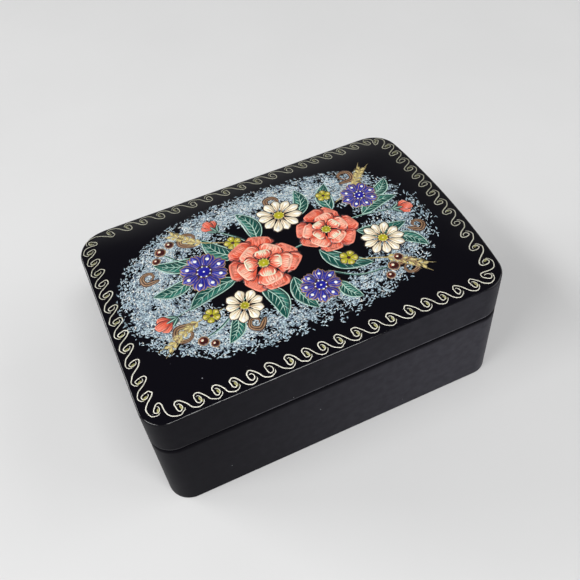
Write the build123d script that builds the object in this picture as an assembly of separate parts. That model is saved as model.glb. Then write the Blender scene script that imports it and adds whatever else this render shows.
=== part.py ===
from build123d import *
import os

# A hinged papier-mache box with rounded corners, a crowned lid and a wire hinge in its back edge.
# Millimetres. The origin is the middle of the base's underside, +X runs along the box to its right,
# +Y to the back, where the hinge is, and +Z up.

# Plan of the base: an oblong with straight long sides and short sides that bow outward, the right one
# more than the left.
base_length = 88.8
base_width = 61.8
left_bow = 0.1
right_bow = 2.3
base_front_left_radius = 5.7
base_front_right_radius = 5.4
base_back_left_radius = 7.7
base_back_right_radius = 7.0

# The lid over the base: flush at the back, where the hinge is, and at the left, and proud at the front
# and the right.
lid_front_overhang = 0.4
lid_right_overhang = 0.25
lid_front_left_radius = 5.8
lid_front_right_radius = 6.8
lid_back_left_radius = 7.9
lid_back_right_radius = 7.2

# Heights. The lid's edge is where its side would meet its top before that edge is rounded.
base_height = 24.4
lid_edge_height = 11.5
crown_rise = 1.5
edge_round = 0.45
foot_bevel = 0.2

# Walls and plates.
base_wall_thickness = 3.2
floor_thickness = 2.6
plate_thickness = 2.6
least_inner_radius = 1.5

# Inner rim, glued inside the base, which stands above the seam and centres the lid.
rim_thickness = 1.4
rim_rise = 3.0
rim_clearance = 0.35
rim_easing = 0.4

# Bevel on both sides of the seam, rounded over where it meets the wall, the base's long and soft and
# the lid's short. At the back the two bevels meet when the lid is open and stop it.
seam_bevel_width = 0.5
base_seam_bevel_height = 0.8
base_seam_round = 3.0
lid_seam_bevel_height = 0.5
lid_seam_round = 1.4

# Hinge: knuckles of strip wrapped round a wire pin, each with a tail in a slot of its wall.
pin_radius = 0.7
pin_clearance = 0.05
pin_end_chamfer = 0.2
strip_thickness = 0.4
hinge_length = 30.0
knuckle_count = 5
knuckle_gap = 0.2
tail_depth = 4.2
glue_line = 0.03
swing_clearance = 0.3

# How the crown falls from the middle to the edge: the first share sets how square its level lines are,
# the second how flat the middle is. The grid's places are shares of the lid's half length and half width.
crown_square_share = 10
crown_flat_share = 4
crown_grid_shares = [step / 6.5 for step in range(-7, 8)]

# One overrun serves all cuts.
overrun = 1.0

# Places that follow from the sizes above.
back_face = base_width / 2
lid_length = base_length + lid_right_overhang
lid_width = base_width + lid_front_overhang
lid_centre = Vector(lid_right_overhang / 2, back_face - lid_width / 2)
lid_edge = base_height + lid_edge_height
plate_bottom = lid_edge - plate_thickness
rim_outer_inset = base_wall_thickness
rim_inner_inset = base_wall_thickness + rim_thickness
bore_radius = pin_radius + pin_clearance
barrel_radius = bore_radius + strip_thickness
hinge_axis_y = back_face - seam_bevel_width
hinge_axis_z = base_height
knuckle_pitch = hinge_length / knuckle_count

base_radii = [base_front_left_radius, base_front_right_radius, base_back_right_radius, base_back_left_radius]
lid_radii = [lid_front_left_radius, lid_front_right_radius, lid_back_right_radius, lid_back_left_radius]


def plan(length, width, radii, inset=0):
    """Face of a rounded oblong whose short sides bow outward, drawn in by the inset.

    The radii go round from the front left corner. An inner corner is never sharper than the former
    on which the strips are wound.
    """
    half_length = length / 2 - inset
    half_width = width / 2 - inset
    corners = [
        (-half_length, -half_width),
        (half_length, -half_width),
        (half_length, half_width),
        (-half_length, half_width),
    ]
    sides = [
        Line(corners[0], corners[1]),
        ThreePointArc(corners[1], (half_length + right_bow, 0), corners[2]),
        Line(corners[2], corners[3]),
        ThreePointArc(corners[3], (-half_length - left_bow, 0), corners[0]),
    ]
    face = make_face(sides)
    for corner, radius in zip(corners, radii):
        vertex = face.vertices().sort_by_distance(corner)[0]
        face = fillet(vertex, max(radius - inset, least_inner_radius))
    return face


def base_plan(inset=0):
    """The base's outline, drawn in by the inset."""
    return plan(base_length, base_width, base_radii, inset)


def lid_plan():
    """The lid's outline, where it hangs over the base."""
    return Pos(lid_centre) * plan(lid_length, lid_width, lid_radii)


def prism(face, low, high):
    """The face pushed up from one height to another."""
    return extrude(Pos(0, 0, low) * face, high - low)


def outer_edges(solid, height):
    """The outermost edges of a ring at a height."""
    level = solid.faces().filter_by(Plane.XY).filter_by_position(Axis.Z, height, height)[0]
    return level, level.outer_wire().edges()


def bevelled_seam(wall, bevel_height, bevel_end, round_radius):
    """Bevel a wall's outer edge along the seam, and round the bevel over where it ends on the wall."""
    seam, edges = outer_edges(wall, base_height)
    wall = chamfer(edges, seam_bevel_width, bevel_height, reference=seam)
    ends = wall.edges().filter_by_position(Axis.Z, bevel_end, bevel_end)
    return fillet(ends, round_radius)


def knuckle_span(index):
    """Where a knuckle starts and ends along the hinge, with its share of the gaps."""
    start = -hinge_length / 2 + index * knuckle_pitch
    return start + knuckle_gap / 2, start + knuckle_pitch - knuckle_gap / 2


def along_hinge(radius, start, end):
    """A cylinder on the hinge's axis."""
    middle = Pos((start + end) / 2, hinge_axis_y, hinge_axis_z)
    return middle * Rot(0, 90, 0) * Cylinder(radius, end - start)


def tail(start, end, side, grown=0):
    """The flat end of a knuckle's strip, on the inner side of its barrel. Side is 1 up or -1 down."""
    inner = hinge_axis_y - barrel_radius - grown
    outer = hinge_axis_y - barrel_radius + strip_thickness + grown
    low, high = sorted([hinge_axis_z, hinge_axis_z + side * (tail_depth + grown)])
    middle = Pos((start + end) / 2, (inner + outer) / 2, (low + high) / 2)
    return middle * Box(end - start, outer - inner, high - low)


def knuckle(index, side):
    """Strip wrapped round the pin, with its tail."""
    start, end = knuckle_span(index)
    wrapped = along_hinge(barrel_radius, start, end) + tail(start, end, side)
    return wrapped - along_hinge(bore_radius, start - overrun, end + overrun)


def knuckle_seats(wall, own, side):
    """Cut the wall for the hinge: close seats and slots for its own knuckles, room for the others."""
    for index in range(knuckle_count):
        start, end = knuckle_span(index)
        if index in own:
            wall = wall - along_hinge(barrel_radius + glue_line, start - glue_line, end + glue_line)
            wall = wall - tail(start - glue_line, end + glue_line, side, glue_line)
        else:
            room = swing_clearance
            wall = wall - along_hinge(barrel_radius + room, start - knuckle_gap, end + knuckle_gap)
    return wall


def crown_surface():
    """The lid's crowned top: a smooth pillow that comes down to one level along the lid's edge."""
    rows = []
    for across in crown_grid_shares:
        row = []
        for along in crown_grid_shares:
            reach = (abs(along) ** crown_square_share + abs(across) ** crown_square_share)
            reach = reach ** (1 / crown_square_share)
            x = along * (lid_length + left_bow + right_bow) / 2 + (right_bow - left_bow) / 2
            y = across * lid_width / 2
            z = crown_rise * (1 - reach ** crown_flat_share)
            row.append(Vector(x, y, z))
        rows.append(row)
    surface = Face.make_surface_from_array_of_points(rows)
    return Pos(lid_centre + Vector(0, 0, lid_edge)) * surface


def make_base_wall():
    """The base's wound wall, with its foot and seam bevelled and the hinge let in."""
    wall = prism(base_plan() - base_plan(base_wall_thickness), 0, base_height)
    foot, edges = outer_edges(wall, 0)
    wall = chamfer(edges, foot_bevel)
    bevel_end = base_height - base_seam_bevel_height
    wall = bevelled_seam(wall, base_seam_bevel_height, bevel_end, base_seam_round)
    return knuckle_seats(wall, base_knuckles, -1)


def make_base_floor():
    """The floor plate, let in between the walls."""
    return prism(base_plan(base_wall_thickness), 0, floor_thickness)


def make_inner_rim():
    """The rim that lines the base and stands above its seam, eased along its top."""
    top = base_height + rim_rise
    rim = prism(base_plan(rim_outer_inset) - base_plan(rim_inner_inset), floor_thickness, top)
    level = rim.faces().sort_by(Axis.Z)[-1]
    return chamfer(level.edges(), rim_easing)


def lid_hollow():
    """The lid's inside, which goes round the rim with its clearance."""
    return base_plan(rim_outer_inset - rim_clearance)


def make_lid_wall():
    """The lid's wound wall, with its seam bevelled and the hinge let in."""
    wall = prism(lid_plan() - lid_hollow(), base_height, plate_bottom)
    bevel_end = base_height + lid_seam_bevel_height
    wall = bevelled_seam(wall, lid_seam_bevel_height, bevel_end, lid_seam_round)
    return knuckle_seats(wall, lid_knuckles, 1)


def make_lid_plate():
    """The lid's top plate: crowned, with a softly rounded edge."""
    blank = prism(lid_plan(), plate_bottom, lid_edge + crown_rise + overrun)
    above = extrude(crown_surface(), crown_rise * crown_flat_share, dir=(0, 0, 1))
    plate = blank - above
    crown = plate.faces().sort_by(Axis.Z)[-1]
    return fillet(crown.edges(), edge_round)


def make_pin():
    """The wire pin, eased at both ends."""
    pin = along_hinge(pin_radius, *pin_span)
    ends = pin.edges().filter_by(GeomType.CIRCLE)
    return chamfer(ends, pin_end_chamfer)


# Knuckles belong to base and lid by turns, and the base has both ends.
base_knuckles = range(0, knuckle_count, 2)
lid_knuckles = range(1, knuckle_count, 2)
pin_span = (knuckle_span(0)[0], knuckle_span(knuckle_count - 1)[1])

base_knuckle_names = ["base_knuckle_left", "base_knuckle_middle", "base_knuckle_right"]
lid_knuckle_names = ["lid_knuckle_left", "lid_knuckle_right"]

nodes = {
    "base_wall": make_base_wall(),
    "base_floor": make_base_floor(),
    "inner_rim": make_inner_rim(),
    "hinge_pin": make_pin(),
    "lid_wall": make_lid_wall(),
    "lid_plate": make_lid_plate(),
}
for name, index in zip(base_knuckle_names, base_knuckles):
    nodes[name] = knuckle(index, -1)
for name, index in zip(lid_knuckle_names, lid_knuckles):
    nodes[name] = knuckle(index, 1)

os.makedirs("parts", exist_ok=True)
for name, solid in nodes.items():
    export_step(solid, f"parts/{name}.step")
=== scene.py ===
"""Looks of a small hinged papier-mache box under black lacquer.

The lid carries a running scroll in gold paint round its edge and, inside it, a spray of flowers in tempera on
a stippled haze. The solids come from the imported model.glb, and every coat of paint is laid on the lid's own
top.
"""

import logging
import math
import random
from collections.abc import Iterable, Iterator
from dataclasses import dataclass
from enum import Enum
from functools import cache, cached_property

import bmesh
import bpy
from mathutils import Matrix, Vector, noise
from mathutils.bvhtree import BVHTree


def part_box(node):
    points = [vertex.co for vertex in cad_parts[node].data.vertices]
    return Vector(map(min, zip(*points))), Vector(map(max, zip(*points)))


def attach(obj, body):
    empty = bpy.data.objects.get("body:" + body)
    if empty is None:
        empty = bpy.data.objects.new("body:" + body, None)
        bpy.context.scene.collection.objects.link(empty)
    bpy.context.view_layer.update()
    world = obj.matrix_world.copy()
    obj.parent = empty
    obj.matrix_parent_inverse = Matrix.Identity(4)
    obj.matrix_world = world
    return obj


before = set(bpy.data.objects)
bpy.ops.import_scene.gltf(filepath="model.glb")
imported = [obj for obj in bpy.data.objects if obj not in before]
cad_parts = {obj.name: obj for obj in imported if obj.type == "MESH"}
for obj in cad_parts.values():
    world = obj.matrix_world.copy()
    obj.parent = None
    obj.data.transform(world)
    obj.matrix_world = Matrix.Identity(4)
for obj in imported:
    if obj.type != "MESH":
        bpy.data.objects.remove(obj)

Socket = bpy.types.NodeSocket
Point = tuple[float, float]
Span = tuple[float, float]
Cells = tuple[int, int]
Inputs = dict[str | int, object]

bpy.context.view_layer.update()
MM = 0.001
FULL_TURN = 2 * math.pi
EVEN = Vector((1.0, 1.0, 1.0))
LOG = logging.getLogger("lacquer_box")


def linear(code: str) -> tuple[float, float, float, float]:
    """Turn an sRGB hex value into a linear colour.

    Args:
        code: Six hex digits after a hash sign.

    Returns:
        Red, green, blue and an alpha of one.
    """
    low_end, slope, offset, power = 0.04045, 12.92, 0.055, 2.4
    shares = [int(code[place:place + 2], 16) / 255 for place in (1, 3, 5)]
    red, green, blue = (
        share / slope if share <= low_end else ((share + offset) / (1 + offset)) ** power for share in shares
    )
    return red, green, blue, 1.0


def per_metre(spacing: float) -> float:
    """Pattern scale for a real spacing in millimetres."""
    return 1 / (spacing * MM)


def placed(name: str, data: bpy.types.ID) -> bpy.types.Object:
    """Put a new object in the scene.

    Args:
        name: The object's name.
        data: Its mesh, lamp or lens.

    Returns:
        The object.
    """
    thing = bpy.data.objects.new(name, data)
    bpy.context.scene.collection.objects.link(thing)
    return thing


class Nodes:
    """A node tree, with the few kinds of node that the finishes are made of."""

    # Places of a mix's sockets, whose names come back in each kind of mix.
    share, level, other_level, mixed_level = 0, 2, 3, 0
    colour, other_colour, mixed_colour = 6, 7, 2

    def __init__(self, tree: bpy.types.NodeTree) -> None:
        """Take a tree and empty it."""
        self.tree = tree
        tree.nodes.clear()

    def put(self, node: bpy.types.Node, key: str | int, value: object) -> None:
        """Give a node's input a value, or link it to a socket.

        Args:
            node: The node.
            key: The input's name or place.
            value: A value or another node's output.
        """
        if isinstance(value, Socket):
            self.tree.links.new(value, node.inputs[key])
        else:
            node.inputs[key].default_value = value

    def add(self, kind: str, inputs: Inputs | None = None, **settings: object) -> bpy.types.Node:
        """Add a node with its settings, values and links.

        Args:
            kind: The node's type name, less what all of them start with.
            inputs: Value or linked socket by the input's name or place.
            settings: Properties of the node itself.

        Returns:
            The new node.
        """
        node = self.tree.nodes.new(f"ShaderNode{kind}")
        for name, value in settings.items():
            setattr(node, name, value)
        for key, value in (inputs or {}).items():
            self.put(node, key, value)
        return node

    def maths(self, operation: str, *values: float | Socket, clamped: bool = False) -> Socket:
        """Result of a sum on numbers."""
        return self.add("Math", dict(enumerate(values)), operation=operation, use_clamp=clamped).outputs[0]

    def vectors(self, operation: str, *values: Vector | Socket) -> Socket:
        """Result of a sum on vectors, which is a number for a length or a dot product."""
        output = "Value" if operation in ("DOT_PRODUCT", "LENGTH") else "Vector"
        return self.add("VectorMath", dict(enumerate(values)), operation=operation).outputs[output]

    def here(self, kind: str = "Object") -> Socket:
        """The place on the piece, or with Normal the way it faces there, in the piece's own directions."""
        return self.add("TexCoord").outputs[kind]

    def axis(self, vector: Socket, name: str) -> Socket:
        """A vector's share along an axis."""
        return self.add("SeparateXYZ", {"Vector": vector}).outputs[name]

    def noise(self, spacing: float, detail: float, stretch: Vector = EVEN) -> Socket:
        """Noise fixed to the piece, drawn out along some axes.

        Args:
            spacing: Size of the pattern in millimetres.
            detail: Number of finer layers.
            stretch: Scale on each axis, less than one to draw the pattern out.

        Returns:
            The noise's value.
        """
        drawn = self.add("Mapping", {"Vector": self.here(), "Scale": stretch}).outputs["Vector"]
        inputs = {"Vector": drawn, "Scale": per_metre(spacing), "Detail": detail}
        return self.add("TexNoise", inputs).outputs["Fac"]

    def ramp(self, value: Socket, span: Span, ends: Span = (0.0, 1.0), unit: float = 1.0) -> Socket:
        """Map a span of a value to another span, smoothly and without overrun.

        Args:
            value: What is mapped.
            span: Where the span begins and ends.
            ends: The results there.
            unit: What the span is counted in.

        Returns:
            The mapped value.
        """
        low, high = (end * unit for end in span)
        inputs = {"Value": value, "From Min": low, "From Max": high, "To Min": ends[0], "To Max": ends[1]}
        return self.add("MapRange", inputs, interpolation_type="SMOOTHSTEP").outputs["Result"]

    def blend(self, share: Socket, first: object, second: object) -> Socket:
        """Mix two colours, each a colour or a socket, by a share."""
        inputs = {self.share: share, self.colour: first, self.other_colour: second}
        return self.add("Mix", inputs, data_type="RGBA").outputs[self.mixed_colour]

    def product(self, *shares: Socket) -> Socket:
        """Multiply shares with one another."""
        first, *rest = shares
        return self.maths("MULTIPLY", first, self.product(*rest)) if rest else first

    def relief(self, height: Socket, depth: float) -> Socket:
        """Bump from a height between zero and one, whose full depth is in millimetres."""
        return self.add("Bump", {"Height": height, "Strength": 1.0, "Distance": depth * MM}).outputs["Normal"]


class Surface(Nodes):
    """A material's nodes, with one surface shader."""

    def __init__(self, name: str) -> None:
        """Start a material with only its shader.

        Args:
            name: The finish's name.
        """
        self.material = bpy.data.materials.new(name)
        self.material.use_nodes = True
        super().__init__(self.material.node_tree)
        self.shader = self.add("BsdfPrincipled")
        self.output = self.add("OutputMaterial", {"Surface": self.shader.outputs["BSDF"]})

    def finish(self, inputs: Inputs) -> bpy.types.Material:
        """Give the shader its values and links.

        Args:
            inputs: Value or linked socket by the input's name.

        Returns:
            The material.
        """
        for name, value in inputs.items():
            self.put(self.shader, name, value)
        return self.material


class Lining(Enum):
    """Which faces of a solid are lined in red."""

    NONE = "black_oil_lacquer"
    FLOOR = "black_oil_lacquer_red_floor"
    CEILING = "black_oil_lacquer_red_ceiling"
    WALL = "black_oil_lacquer_red_inside"
    ALL = "red_oil_lacquer"


@dataclass(frozen=True)
class Lacquer:
    """Oil lacquer over papier-mache, brushed on, baked and sanded between coats.

    The eye gets a deep, wet black with long low waves from the brush, and a few motes of dust that
    settled before the last coat was dry. The top and the red inside have one more, polished coat, which
    mirrors sharply. The sides lack it and carry a pale film in random patches, partly dulling by hands
    and partly painted sheen, that grows toward the right, the base more than the lid. A band of the base
    just below the seam keeps no film, as painted shade under the lid's overhang. The lid's lower edge has
    a pale line that is partly wear and partly a painted highlight. Places and spacings are in millimetres.
    """

    lining: Lining = Lining.NONE
    ground: str = "#09080e"
    # Colour of a film on the sides that is partly dulling and partly painted sheen.
    film_and_sheen: str = "#3f3e45"
    # Colour of the lid's lower edge line, which is partly wear and partly a painted highlight.
    wear_and_highlight: str = "#66656c"
    red: str = "#8f150b"
    red_shade: str = "#5e0c06"
    mote: str = "#8b8d92"
    brushed_roughness: float = 0.36
    brushed_shine: float = 0.028
    stroke_roughness: float = 0.08
    polished_roughness: float = 0.09
    coat_share: float = 0.7
    # How far a face looks up or down, or outward, where its lining and its coat begin and are full.
    upward_lining: Span = (0.4, 0.6)
    downward_lining: Span = (-0.4, -0.6)
    inward_lining: Span = (-0.15, -0.3)
    level_coat: Span = (0.3, 0.6)
    spared_coat: Span = (0.0, 0.5)
    # Where along the sides the painted sheen grows from its least share to full, and its random patches.
    sheen_reach: Span = (-44.0, 46.0)
    least_sheen_share: float = 0.12
    lid_sheen_share: float = 0.62
    patch_spacing: float = 2.2
    film_and_sheen_patches: Span = (0.25, 0.75)
    film_and_sheen_patch_shares: Span = (0.78, 1.05)
    # Heights over which the film fades out below the seam, leaving painted shade under the lid's overhang.
    shaded_groove_heights: Span = (21.9, 23.7)
    # Heights, reach aside and patches of the lid's lower edge line of wear and painted highlight.
    wear_highlight_start: Span = (24.6, 24.85)
    wear_highlight_end: Span = (25.15, 25.5)
    wear_highlight_reach: Span = (1.0, 18.0)
    wear_highlight_patches: Span = (0.3, 0.7)
    wear_highlight_patch_shares: Span = (0.45, 1.0)
    spared_x: float = -33.0
    wave_spacing: float = 4.5
    wave_depth: float = 0.012
    brush_spacing: float = 0.7
    brush_stretch: Vector = Vector((0.15, 0.15, 1.0))
    brush_depth: float = 0.004
    mote_spacing: float = 5.5
    mote_reach: Span = (0.018, 0.0288)

    def shares(self, nodes: Nodes) -> tuple[Socket | None, Socket | None]:
        """Where a piece is red, and where it is polished: on a plate's level faces and a wall's red side.

        Args:
            nodes: The finish's nodes.

        Returns:
            The share of red and the coat's weight, both none where they are the same all over.
        """
        facing = nodes.here("Normal")
        if self.lining in (Lining.FLOOR, Lining.CEILING):
            upward = nodes.axis(facing, "Z")
            span = self.upward_lining if self.lining is Lining.FLOOR else self.downward_lining
            steep = nodes.maths("ABSOLUTE", upward)
            return nodes.ramp(upward, span), nodes.ramp(steep, self.level_coat, (0.0, self.coat_share))
        if self.lining is Lining.WALL:
            level = nodes.vectors("MULTIPLY", nodes.here(), Vector((1.0, 1.0, 0.0)))
            outward = nodes.vectors("DOT_PRODUCT", nodes.vectors("NORMALIZE", level), facing)
            lined = nodes.ramp(outward, self.inward_lining)
            return lined, nodes.ramp(lined, (0.0, 1.0), (0.0, self.coat_share))
        return None, None

    def black_with_painted_light(self, nodes: Nodes, polished: Socket | None) -> Socket:
        """The black of the lacquer, with painted sheen and painted shade on the sides.

        The sides carry a film that is partly dulling by hands and partly painted sheen, painted shade darkens
        the base just below the seam, and the lid's lower edge has a line that is partly wear and partly a
        painted highlight.

        Args:
            nodes: The finish's nodes.
            polished: Weight of the polished coat.

        Returns:
            The colour.
        """
        on_base = self.lining is Lining.NONE
        patches = nodes.noise(self.patch_spacing, 2.0)
        along, height = (nodes.axis(nodes.here(), name) for name in "XZ")
        most = 1.0 if on_base else self.lid_sheen_share
        # The film is partly dulling and partly painted sheen: it grows from left to right, less on the lid, in
        # random patches, and spares the polished faces.
        film_and_sheen = [
            nodes.ramp(along, self.sheen_reach, (self.least_sheen_share, most), MM),
            nodes.ramp(patches, self.film_and_sheen_patches, self.film_and_sheen_patch_shares),
        ]
        if polished:
            film_and_sheen.append(nodes.ramp(polished, self.spared_coat, (1.0, 0.0)))
        # Painted shade: the film fades out toward the seam, so the base's top band stays darker under the
        # lid's overhang.
        if on_base:
            film_and_sheen.append(nodes.ramp(height, self.shaded_groove_heights, (1.0, 0.0), MM))
        colour = nodes.blend(nodes.product(*film_and_sheen), linear(self.ground), linear(self.film_and_sheen))
        # The lid's lower edge line is partly wear and partly a painted highlight: paler between these heights,
        # away from spared_x, in patches.
        if self.lining is Lining.WALL:
            aside = nodes.maths("ABSOLUTE", nodes.maths("SUBTRACT", along, self.spared_x * MM))
            wear_and_highlight_share = nodes.product(
                nodes.ramp(height, self.wear_highlight_start, unit=MM),
                nodes.ramp(height, self.wear_highlight_end, (1.0, 0.0), MM),
                nodes.ramp(aside, self.wear_highlight_reach, unit=MM),
                nodes.ramp(patches, self.wear_highlight_patches, self.wear_highlight_patch_shares),
            )
            colour = nodes.blend(wear_and_highlight_share, colour, linear(self.wear_and_highlight))
        return colour

    def material(self) -> bpy.types.Material:
        """Build the finish.

        Returns:
            The material.
        """
        nodes = Surface(self.lining.value)
        waves = nodes.noise(self.wave_spacing, 1.0)
        strokes = nodes.noise(self.brush_spacing, 2.0, self.brush_stretch)
        motes = nodes.add("TexVoronoi", {"Vector": nodes.here(), "Scale": per_metre(self.mote_spacing)})
        lined, polished = self.shares(nodes)
        colour = nodes.blend(strokes, linear(self.red), linear(self.red_shade))
        if self.lining is not Lining.ALL:
            speck = nodes.ramp(motes.outputs["Distance"], self.mote_reach, (1.0, 0.0))
            black = nodes.blend(speck, self.black_with_painted_light(nodes, polished), linear(self.mote))
            colour = nodes.blend(lined, black, colour) if lined else black
        coat, satin = self.coat_share if self.lining is Lining.ALL else 0.0, self.brushed_roughness
        if polished:
            coat = polished
            satin = nodes.ramp(polished, (0.0, self.coat_share), (satin, self.polished_roughness))
        height = nodes.maths("MULTIPLY_ADD", strokes, self.brush_depth / self.wave_depth, waves)
        uneven = nodes.relief(height, self.wave_depth)
        return nodes.finish({
            "Base Color": colour,
            "Coat Weight": coat,
            "Coat Roughness": self.polished_roughness,
            "Roughness": nodes.maths("MULTIPLY_ADD", strokes, self.stroke_roughness, satin),
            "Specular IOR Level": self.brushed_shine,
            "Normal": uneven,
            "Coat Normal": uneven,
        })


@dataclass(frozen=True)
class DrawnMetal:
    """Strip or wire drawn through rolls or a die.

    The eye gets fine bright lines along the draw and a grey-brown tarnish where fingers and lacquer
    fumes have reached.
    """

    name: str
    bright: str
    tarnish: str
    roughness: float
    line_spacing: float
    line_stretch: Vector = Vector((0.06, 1.0, 1.0))
    line_depth: float = 0.004
    tarnish_spacing: float = 1.8
    tarnish_clouds: Span = (0.45, 0.7)
    tarnish_share: float = 0.8
    tarnish_roughness: float = 0.2

    def material(self) -> bpy.types.Material:
        """Build the finish.

        Returns:
            The material.
        """
        nodes = Surface(self.name)
        lines = nodes.noise(self.line_spacing, 1.0, self.line_stretch)
        clouds = nodes.noise(self.tarnish_spacing, 3.0)
        dull = nodes.ramp(clouds, self.tarnish_clouds, (0.0, self.tarnish_share))
        return nodes.finish({
            "Base Color": nodes.blend(dull, linear(self.bright), linear(self.tarnish)),
            "Roughness": nodes.maths("MULTIPLY_ADD", dull, self.tarnish_roughness, self.roughness),
            "Normal": nodes.relief(lines, self.line_depth),
            "Metallic": 1.0,
        })


@dataclass(frozen=True)
class Tempera:
    """Egg tempera laid with a fine brush and sealed under clear lacquer.

    The eye gets a flat, dense colour that thins out along the hairs' tracks, where the ground shows a
    little, under one common gloss.
    """

    full: str
    thin: str
    flatness: Vector = Vector((1.0, 1.0, 0.2))
    hair_spacing: float = 0.22
    hair_depth: float = 0.002
    cloud_spacing: float = 1.6
    thin_sums: Span = (1.02, 1.34)
    most_thin: float = 0.85
    roughness: float = 0.2

    def material(self, label: str) -> bpy.types.Material:
        """Build the finish.

        Args:
            label: The paint's own name.

        Returns:
            The material.
        """
        nodes = Surface(f"tempera_{label}")
        hairs = nodes.noise(self.hair_spacing, 2.0, self.flatness)
        both = nodes.maths("ADD", hairs, nodes.noise(self.cloud_spacing, 1.0, self.flatness))
        thin = nodes.ramp(both, self.thin_sums, (0.0, self.most_thin))
        return nodes.finish({
            "Base Color": nodes.blend(thin, linear(self.full), linear(self.thin)),
            "Normal": nodes.relief(hairs, self.hair_depth),
            "Roughness": self.roughness,
            "IOR": 1.5,
        })


@dataclass(frozen=True)
class GoldPaint:
    """Pale bronze powder in varnish, drawn with a liner brush.

    The eye gets a warm, slightly broken line: full and bright where the brush was loaded, dull olive
    where it ran dry. The line is also painted brighter toward the lid's front left corner, a painted
    sheen, and duller away from it; this fading is per millimetre from there.
    """

    full: str
    thin: str
    flatness: Vector = Vector((1.0, 1.0, 0.2))
    # Painted sheen: the line is painted brightest round this place and duller per millimetre away from it.
    sheen_middle: Vector = Vector((-42.0, -28.0, 0.0))
    sheen_fading: Vector = Vector((0.0052, 0.0175, 0.0))
    flake_spacing: float = 0.12
    flake_depth: float = 0.004
    load_spacing: float = 2.4
    broken_sums: Span = (0.9, 1.3)
    broken_shares: Span = (-0.15, 0.25)
    metallic: float = 0.25
    roughness: float = 0.42

    def material(self, label: str) -> bpy.types.Material:
        """Build the finish.

        Args:
            label: The paint's own name.

        Returns:
            The material.
        """
        nodes = Surface(f"gold_{label}")
        flakes = nodes.noise(self.flake_spacing, 1.0, self.flatness)
        both = nodes.maths("ADD", flakes, nodes.noise(self.load_spacing, 1.0, self.flatness))
        # Painted sheen: distance from the front left corner dulls the line, on top of its random dry patches.
        away = nodes.vectors("SUBTRACT", nodes.here(), self.sheen_middle * MM)
        sheen_fade = nodes.vectors("DOT_PRODUCT", away, self.sheen_fading / MM)
        dry_and_unlit = nodes.maths("ADD", sheen_fade, nodes.ramp(both, self.broken_sums, self.broken_shares), clamped=True)
        return nodes.finish({
            "Base Color": nodes.blend(dry_and_unlit, linear(self.full), linear(self.thin)),
            "Normal": nodes.relief(flakes, self.flake_depth),
            "Metallic": self.metallic,
            "Roughness": self.roughness,
        })


class Pigment(Enum):
    """The paints on the lid."""

    LINE = GoldPaint("#e9e6d8", "#a3a28f")
    PUDDLE = GoldPaint("#97945a", "#5f5f3e")
    NIGHT = Tempera("#0c0b0d", "#141216")
    MAROON = Tempera("#3c1614", "#1f0c0b")
    BRICK = Tempera("#a8382a", "#7c261c")
    CORAL = Tempera("#d4553c", "#b6422e")
    SALMON = Tempera("#e8836b", "#cf624c")
    BLUSH = Tempera("#f5b9a0", "#e0937c")
    CREAM = Tempera("#ece0c4", "#cbb894")
    WHITE = Tempera("#f0efe8", "#cfd0cc")
    ULTRAMARINE = Tempera("#1c1c8c", "#131358")
    CORNFLOWER = Tempera("#5a62c4", "#3a3f9a")
    GREEN = Tempera("#14463f", "#0b2926")
    SEA = Tempera("#1f6a5c", "#14463f")
    CELADON = Tempera("#a9cdbd", "#6f9a8b")
    OLIVE = Tempera("#a8a11e", "#77721a")
    OCHRE = Tempera("#b5a36a", "#857648")
    STRAW = Tempera("#dccb82", "#b5a050")
    UMBER = Tempera("#3d2a1f", "#251912")
    BROWN = Tempera("#6a4a34", "#432e22")
    TAN = Tempera("#a27f5c", "#735638")
    SLATE = Tempera("#4c5c6e", "#2a3440")
    MIST = Tempera("#9fb5c1", "#6c8595")
    FROST = Tempera("#d2e2e8", "#a3b9c4")

    @cache
    def material(self) -> bpy.types.Material:
        """The paint's material, made once."""
        return self.value.material(self.name.lower())


Paints = tuple[Pigment, Pigment, Pigment, Pigment]


class Taper(Enum):
    """How a stroke's width runs from its start to its end, as two powers of a sine."""

    LINE = (1.0, 0.22)
    LEAF = (0.85, 0.85)
    DROP = (1.9, 0.8)
    PETAL = (1.7, 0.55)
    COMMA = (0.55, 0.8)
    OVAL = (1.0, 0.5)

    def share(self, along: float) -> float:
        """Width at a share of the stroke's length, as a share of its full width."""
        reach, fullness = self.value
        return math.sin(math.pi * along ** reach) ** fullness if 0 < along < 1 else 0.0


def polar(centre: Iterable[float], length: float, angle: float) -> Vector:
    """The place at a length and an angle from a centre, in plan."""
    return Vector(centre) + Vector((math.cos(angle), math.sin(angle))) * length


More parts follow.
